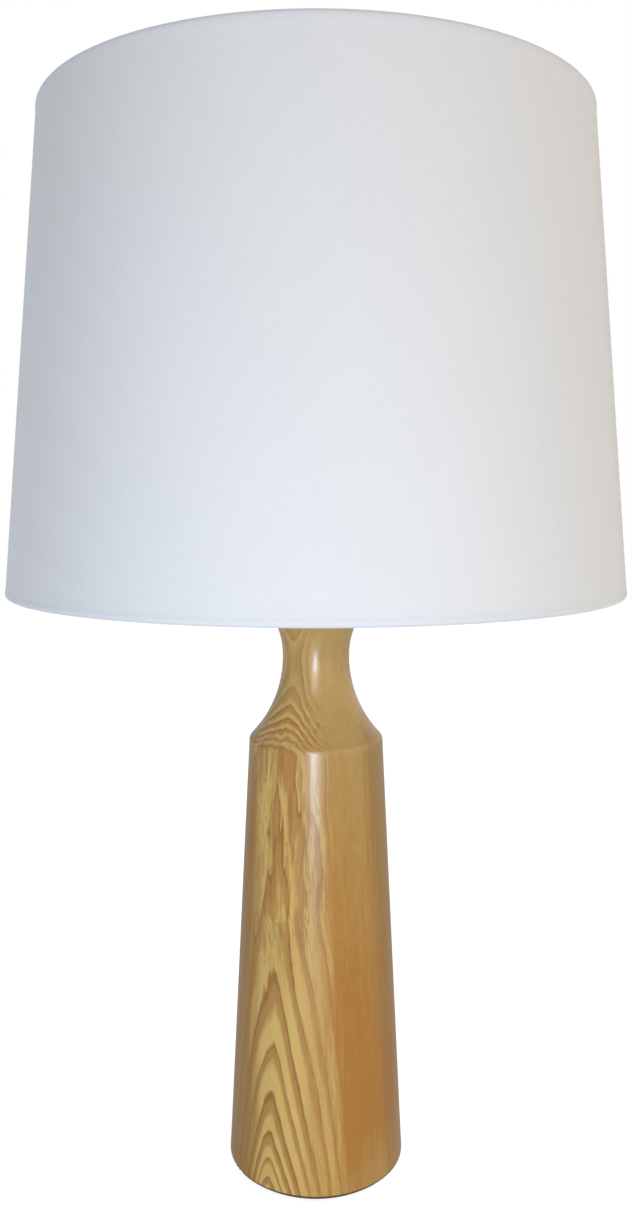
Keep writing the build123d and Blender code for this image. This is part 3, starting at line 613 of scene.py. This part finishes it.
pipe_length = 0.395
pipe_pitch = 0.001
pipe_bottom = 0.0206
rows_a_turn = 4
lamp_thread = threaded(
    "threaded_pipe",
    around=20,
    rows=round(pipe_length / pipe_pitch) * rows_a_turn,
    sizes={
        "crest": 0.0050,
        "depth": 0.0006,
        "pitch": pipe_pitch,
        "bottom": pipe_bottom,
        "top": pipe_bottom + pipe_length,
        "bore": 0.0034,
        "tip": 0.0044,
        "chamfer height": 0.0007,
        "flare": 0.0,
        "flare height": 0.001,
        "run out": 0.0005,
        "metal": zinc,
    },
)
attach(lamp_thread, "base")
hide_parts("lamp_pipe")

# ---------------------------------------------------------------- seat cap, spacer and harp saddle
# Spun and turned brass pieces stacked on the pipe above the column, and the bent strip that carries the
# harp, all in the same satin lacquered brass that has browned a little.
old_brass = metal("satin brass", (0.72, 0.53, 0.27, 1), (0.46, 0.31, 0.15, 1), 0.24, (0.004, 0.004, 0.0003))
finished(old_brass, "seat_cap", "neck_spacer", "harp_saddle", "saddle_nut")

# ---------------------------------------------------------------- lampholder
# A spun brass cap and a drawn shell with a row of pressed ribs, an insulating sleeve of vulcanised fibre,
# and a moulded switch block with its screws, contact and screw shell.
drawn_marks = (0.02, 0.02, 0.0003)
new_brass = metal("bright rolled brass", (0.83, 0.66, 0.35, 1), (0.68, 0.50, 0.24, 1), 0.15, drawn_marks)
finished(new_brass, "socket_cap", "socket_set_screw", "socket_shell", "terminal_screws", "centre_contact")


def ribs(name, sizes):
    """A ring of equal little ribs or beads that stand a part of their thickness out of a round surface."""
    tree, size = tree_of(name + " ring", sizes)
    start = Signal(tree)
    ring = start.node("GeometryNodeMeshCircle", {}, {"Vertices": sizes["count"], "Radius": 1.0})
    index = start.node("GeometryNodeInputIndex", {}, {})
    turn = index / size["count"] * tau + size["first turn"]
    where = on_circle(size["ring radius"], turn, size["height"], size["middle x"])
    points = start.node("GeometryNodeSetPosition", {}, {"Geometry": ring, "Position": where})
    rib = start.node("GeometryNodeMeshUVSphere", {}, {"Segments": 8, "Rings": 6, "Radius": 1.0})
    turned = start.node("ShaderNodeCombineXYZ", {}, {2: turn})
    spread = start.node("ShaderNodeCombineXYZ", {}, {0: size["out"], 1: size["across"], 2: size["along"]})
    placed = start.node(
        "GeometryNodeInstanceOnPoints",
        {},
        {"Points": points, "Instance": rib, "Rotation": turned, "Scale": spread},
    )
    return grown(name, tree, placed, size["metal"], sizes)


shell_ribs = ribs(
    "shell_ribs",
    {
        "count": 48,
        "ring radius": 0.01628,
        "middle x": 0.0,
        "height": 0.4625,
        "first turn": 0.0,
        "out": 0.00030,
        "across": 0.00048,
        "along": 0.0032,
        "metal": new_brass,
    },
)
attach(shell_ribs, "base")

fibre_sleeve = moulded("vulcanised fibre", shade_of(120, 98, 74), shade_of(88, 68, 50), 0.62, 0.0005)
finished(fibre_sleeve, "socket_liner")
phenolic = moulded("dark moulded phenolic", shade_of(34, 28, 25), shade_of(58, 46, 38), 0.30, 0.0006)
finished(phenolic, "socket_body")
cap_marks = (0.02, 0.02, 0.0004)
drawn_metal = metal("bright drawn metal", (0.80, 0.81, 0.82, 1), (0.60, 0.60, 0.60, 1), 0.18, cap_marks)
finished(drawn_metal, "screw_shell")

# ---------------------------------------------------------------- turn switch
# A brass shaft with a fluted knob at the front, and the lobed rotor inside the block that it turns.
finished(new_brass, "switch_shaft")
finished(phenolic, "switch_rotor")
knob_black = moulded("satin moulded knob", shade_of(30, 27, 25), shade_of(62, 56, 51), 0.34, 0.0005)
finished(knob_black, "switch_knob")

# ---------------------------------------------------------------- lamp bulb
# A white frosted glass bulb cemented in a thin metal cap with a coarse rolled thread. Black glass keeps the
# cap apart from the soldered contact underneath.
frosted, place = begin("frosted bulb glass")
frost = cloud(place, (0.0009, 0.0009, 0.0009), 3.0)
bloom = cloud(place, (0.02, 0.02, 0.03), 2.0)
bloomed = (0.4 + 0.8 * bloom + 0.3 * frost).clamped(0, 1)
end(
    frosted,
    {
        "Base Color": bloomed.mixed((0.90, 0.90, 0.88, 1), (0.82, 0.82, 0.80, 1)),
        "Roughness": 0.26 + 0.10 * frost,
        "Coat Weight": 0.3,
        "Coat Roughness": 0.08,
        "Normal": bumped(0.5 + frost, 0.00003, 0.3),
    },
)
finished(frosted, "bulb_glass")

bulb_thread = threaded(
    "bulb_thread",
    around=40,
    rows=60,
    sizes={
        "crest": 0.0130,
        "depth": 0.0009,
        "pitch": 0.003629,
        "bottom": 0.452643,
        "top": 0.474643,
        "bore": 0.0090,
        "tip": 0.0094,
        "chamfer height": 0.0030,
        "flare": 0.0005,
        "flare height": 0.0005,
        "run out": 0.0042,
        "metal": drawn_metal,
    },
)
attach(bulb_thread, "bulb")
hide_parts("bulb_screw_cap")

black_glass = moulded("black cap glass", (0.012, 0.012, 0.016, 1), (0.03, 0.03, 0.035, 1), 0.10, 0.0010)
finished(black_glass, "bulb_insulator")
solder = metal("soft solder", (0.62, 0.62, 0.61, 1), (0.42, 0.42, 0.42, 1), 0.34, (0.0006, 0.0006, 0.0006))
finished(solder, "bulb_contact")

# ---------------------------------------------------------------- harp
# One loop of brass plated wire with flattened feet, held to the saddle's ears by two knurled ferrules. A
# plate crimped over its crown carries the threaded stud.
finished(old_brass, "harp_loop", "harp_stud", "harp_ferrule_left", "harp_ferrule_right")
for side, middle_x in (("left", -0.0271), ("right", 0.0271)):
    knurl = ribs(
        f"ferrule_knurl_{side}",
        {
            "count": 36,
            "ring radius": 0.00458,
            "middle x": middle_x,
            "height": 0.4116,
            "first turn": 0.0,
            "out": 0.00022,
            "across": 0.00026,
            "along": 0.0046,
            "metal": old_brass,
        },
    )
    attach(knurl, f"ferrule_{side}")

# ---------------------------------------------------------------- shade cloth
# Fine white cotton on stiff white plastic, cut as a sector of a ring, rolled into a cone and lapped 10 mm at
# the back. Its long edges go round the wire rings, which swell them a little, and are glued down inside.
shade_bottom_radius = 0.2032
shade_top_radius = 0.1778
shade_height = 0.3048
shade_bottom = 0.3981
rim_thickness = 0.0051
ring_swell = 0.00035
swell_height = 0.0030
hem_depth = 0.008
cloth_thickness = 0.0005
lap_width = 0.010
lap_lift = 0.00055
lap_ramp = 0.004

shade_step = shade_bottom_radius - shade_top_radius
slant = sqrt(shade_height**2 + shade_step**2)
roll_radius = (rim_thickness + ring_swell) / 2
roll_length = pi * roll_radius
straight = slant - rim_thickness
cloth_length = straight + 2 * roll_length + 2 * hem_depth
lap_turn = lap_width / shade_bottom_radius
cone_apex = slant * shade_bottom_radius / shade_step
cone_share = shade_step / slant
outer_cut = cone_apex + roll_length + hem_depth - rim_thickness / 2
inner_cut = outer_cut - cloth_length
cut_angle = (tau + lap_turn) * cone_share

cotton_white = (0.85, 0.853, 0.868, 1.0)
cotton_shadow = (0.80, 0.805, 0.825, 1.0)
# The two rim colours are painted shade: the rolled edges are darker and bluer than the wall of the shade.
painted_low_hem_shade = (0.75, 0.80, 0.87, 1.0)
painted_high_hem_shade = (0.70, 0.72, 0.77, 1.0)
thread_pitch = 0.00042
shaded_hem_height = 0.0065  # the height of the rolled edges, which let less light through
shaded_hem_fade = 0.0075

cotton, place = begin("white shade cotton")
weave_place = place.node("ShaderNodeUVMap", {"uv_map": "flat cut"}, {})
warp, weft = ((weave_place.part(axis) * (tau / thread_pitch)).sine() for axis in range(2))
slubs = cloud(weave_place, (0.0008, 0.012, 1.0), 2.0) + cloud(weave_place, (0.012, 0.0008, 1.0), 2.0)
patches = cloud(weave_place, (0.03, 0.05, 1.0), 2.0)
woven = (0.35 + 0.9 * slubs + 0.5 * patches).clamped(0, 1).mixed(cotton_white, cotton_shadow)
# Painted shade along both rolled edges.
low_hem_shade_share = (place.part(2) - shade_bottom).rising(shaded_hem_height, -shaded_hem_fade, 0.6)
high_hem_shade_share = (shade_bottom + shade_height - place.part(2)).rising(shaded_hem_height, -shaded_hem_fade)
end(
    cotton,
    {
        "Base Color": high_hem_shade_share.mixed(low_hem_shade_share.mixed(woven, painted_low_hem_shade), painted_high_hem_shade),
        "Roughness": 0.92,
        "Specular IOR Level": 0.25,
        "Sheen Weight": 0.6,
        "Sheen Roughness": 0.5,
        "Normal": bumped(0.5 + 0.2 * warp * weft + 0.5 * slubs, 0.00012, 0.6),
    },
)

cloth_sizes = {
    "bottom radius": shade_bottom_radius,
    "bottom": shade_bottom,
    "lean": cone_share,
    "rise": shade_height / slant,
    "rim": rim_thickness,
    "swell": ring_swell,
    "swell height": swell_height,
    "roll": roll_radius,
    "hem": hem_depth,
    "straight": straight,
    "lap turn": lap_turn,
    "lap lift": lap_lift,
    "apex": cone_apex,
    "cloth": cotton,
}
around_count = 400
along_count = 76
rolled_share = 0.32  # of the rows, at each end, for the close rows of the hem and the roll
cloth_tree, size = tree_of("rolled shade cloth", cloth_sizes)
start = Signal(cloth_tree)
sector_counts = {"Size X": 1.0, "Size Y": 1.0, "Vertices X": around_count + 1, "Vertices Y": along_count + 1}
sector = start.node("GeometryNodeMeshGrid", {}, sector_counts)
spot = start.node("GeometryNodeInputPosition", {}, {})
share_round = spot.part(0) + 0.5
share_up = spot.part(1) + 0.5
end_rows = size["hem"] + pi * size["roll"] + size["swell height"]
middle_rows = size["straight"] - 2 * size["swell height"]
run = (
    end_rows * (share_up / rolled_share).clamped(0, 1)
    + middle_rows * share_up.rising(rolled_share, 1 - 2 * rolled_share)
    + end_rows * ((share_up - 1 + rolled_share) / rolled_share).clamped(0, 1)
)


def stretch_of(length, before):
    """How far a run along the cloth has gone through a stretch that starts after another length."""
    return (run - before).clamped(0.0, length)


low_hem = stretch_of(size["hem"], 0.0)
low_roll = stretch_of(pi * size["roll"], size["hem"]) / size["roll"]
wall = stretch_of(size["straight"], size["hem"] + pi * size["roll"])
high_roll = stretch_of(pi * size["roll"], size["hem"] + pi * size["roll"] + size["straight"]) / size["roll"]
high_hem = stretch_of(size["hem"], size["hem"] + 2 * pi * size["roll"] + size["straight"])
along = (
    size["rim"] / 2
    + size["hem"]
    - low_hem
    - size["roll"] * low_roll.sine()
    + wall
    + size["roll"] * high_roll.sine()
    - high_hem
)


def eased(amount):
    """A share from 0 to 1, smooth at both ends."""
    return amount * amount * (3 - 2 * amount)


swell_low = eased((wall / size["swell height"]).clamped(0, 1))
swell_high = eased(((size["straight"] - wall) / size["swell height"]).clamped(0, 1))
inward = (
    size["roll"] * (1 + low_roll.cosine())
    - size["swell"]
    + size["swell"] * swell_low
    - size["swell"] * (1 - swell_high)
    + size["roll"] * (1 - high_roll.cosine())
)
turn = share_round * (tau + size["lap turn"])
ramp_turn = lap_ramp / shade_bottom_radius
lifted = eased(turn.rising(tau - ramp_turn, ramp_turn))
outer_face = (low_roll / pi).clamped(0, 1) * (1 - (high_roll / pi).clamped(0, 1))
lift = size["lap lift"] * lifted * (2 * outer_face - 1)
radius = size["bottom radius"] - along * size["lean"] - (inward - lift) * size["rise"]
height = size["bottom"] + along * size["rise"] - (inward - lift) * size["lean"]
rolled = on_circle(radius, turn + (pi / 2 - lap_turn / 2), height)
flat_radius = size["apex"] + size["hem"] + pi * size["roll"] - size["rim"] / 2 - run
flat_turn = turn * size["lean"]
flat_cut = start.node(
    "ShaderNodeCombineXYZ", {}, {0: flat_radius * flat_turn.sine(), 1: flat_radius * flat_turn.cosine()}
)
marked = start.node(
    "GeometryNodeStoreNamedAttribute",
    {"data_type": "FLOAT2", "domain": "CORNER"},
    {"Geometry": sector, "Name": "flat cut", "Value": flat_cut},
)
shaped = start.node("GeometryNodeSetPosition", {}, {"Geometry": marked, "Position": rolled})
shade_cloth = grown("shade_cloth", cloth_tree, shaped, size["cloth"], cloth_sizes)
thick = shade_cloth.modifiers.new("thickness", "SOLIDIFY")
thick.thickness = cloth_thickness
thick.offset = -1.0
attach(shade_cloth, "shade")
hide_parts("shade_fabric")
2 * outer_cut * sin(cut_angle / 2)
outer_cut - inner_cut * cos(cut_angle / 2)
(outer_cut**2 - inner_cut**2) * cut_angle / 2

# ---------------------------------------------------------------- shade frame
# A panel of stiff white plastic under the cloth keeps it smooth. Two powder coated wire rings stiffen its
# edges, and three brass plated wires, welded to the top ring and to a washer, carry it on the harp.
# The lining has a faint painted glow, which stands in for daylight coming through the cloth.
lining = moulded("white shade lining", (0.90, 0.90, 0.88, 1), (0.86, 0.86, 0.83, 1), 0.40, 0.0007, 0.09)
finished(lining, "shade_liner")
powder_coat = moulded("white powder coat", (0.78, 0.78, 0.76, 1), (0.68, 0.68, 0.66, 1), 0.42, 0.0010)
finished(powder_coat, "shade_top_ring", "shade_bottom_ring")
finished(old_brass, "spider_arms", "spider_hub")
arm_count = 3
welds = {
    "ring": {"ring radius": 0.1739, "height": 0.6990, "out": 0.0017, "across": 0.0027, "along": 0.0019},
    "hub": {"ring radius": 0.0134, "height": 0.6838, "out": 0.0024, "across": 0.0023, "along": 0.0012},
}
for welded_to, bead in welds.items():
    beads = ribs(
        f"spider_welds_{welded_to}",
        {"count": arm_count, "middle x": 0.0, "first turn": pi / 2, "metal": old_brass, **bead},
    )
    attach(beads, "shade")

# ---------------------------------------------------------------- finial
# A ball turned from the same ash, on a threaded brass insert whose flange clamps the shade to the harp.
finished(old_brass, "finial_insert")
rings_across = 390.0  # a metre
rings_up = 90.0
turned_ash, place = begin("turned ash finial")
finial_wander = cloud(place, (0.012, 0.012, 0.03), 2.0)
finial_rings = place.part(0) * rings_across + rings_up * place.part(2) + 1.6 * finial_wander
finial_year = finial_rings.maths("FRACT", finial_rings)
finial_fibre = cloud(place, (0.0007, 0.0007, 0.014), 3.0)
finial_stops = [(0.0, ash_dark), (0.14, ash_tan), (0.45, ash_pale), (0.92, ash_pale), (1.0, ash_dark)]
finial_colour = place.node("ShaderNodeValToRGB", {"stops": finial_stops}, {0: finial_year})
end(
    turned_ash,
    {
        "Base Color": (0.45 + 1.2 * finial_fibre).clamped(0, 1).mixed(finial_colour, ash_tan),
        "Roughness": 0.26 + 0.10 * finial_fibre,
        "Normal": bumped(0.5 + finial_fibre, 0.00005, 0.4),
    },
)
finished(turned_ash, "finial_knob")
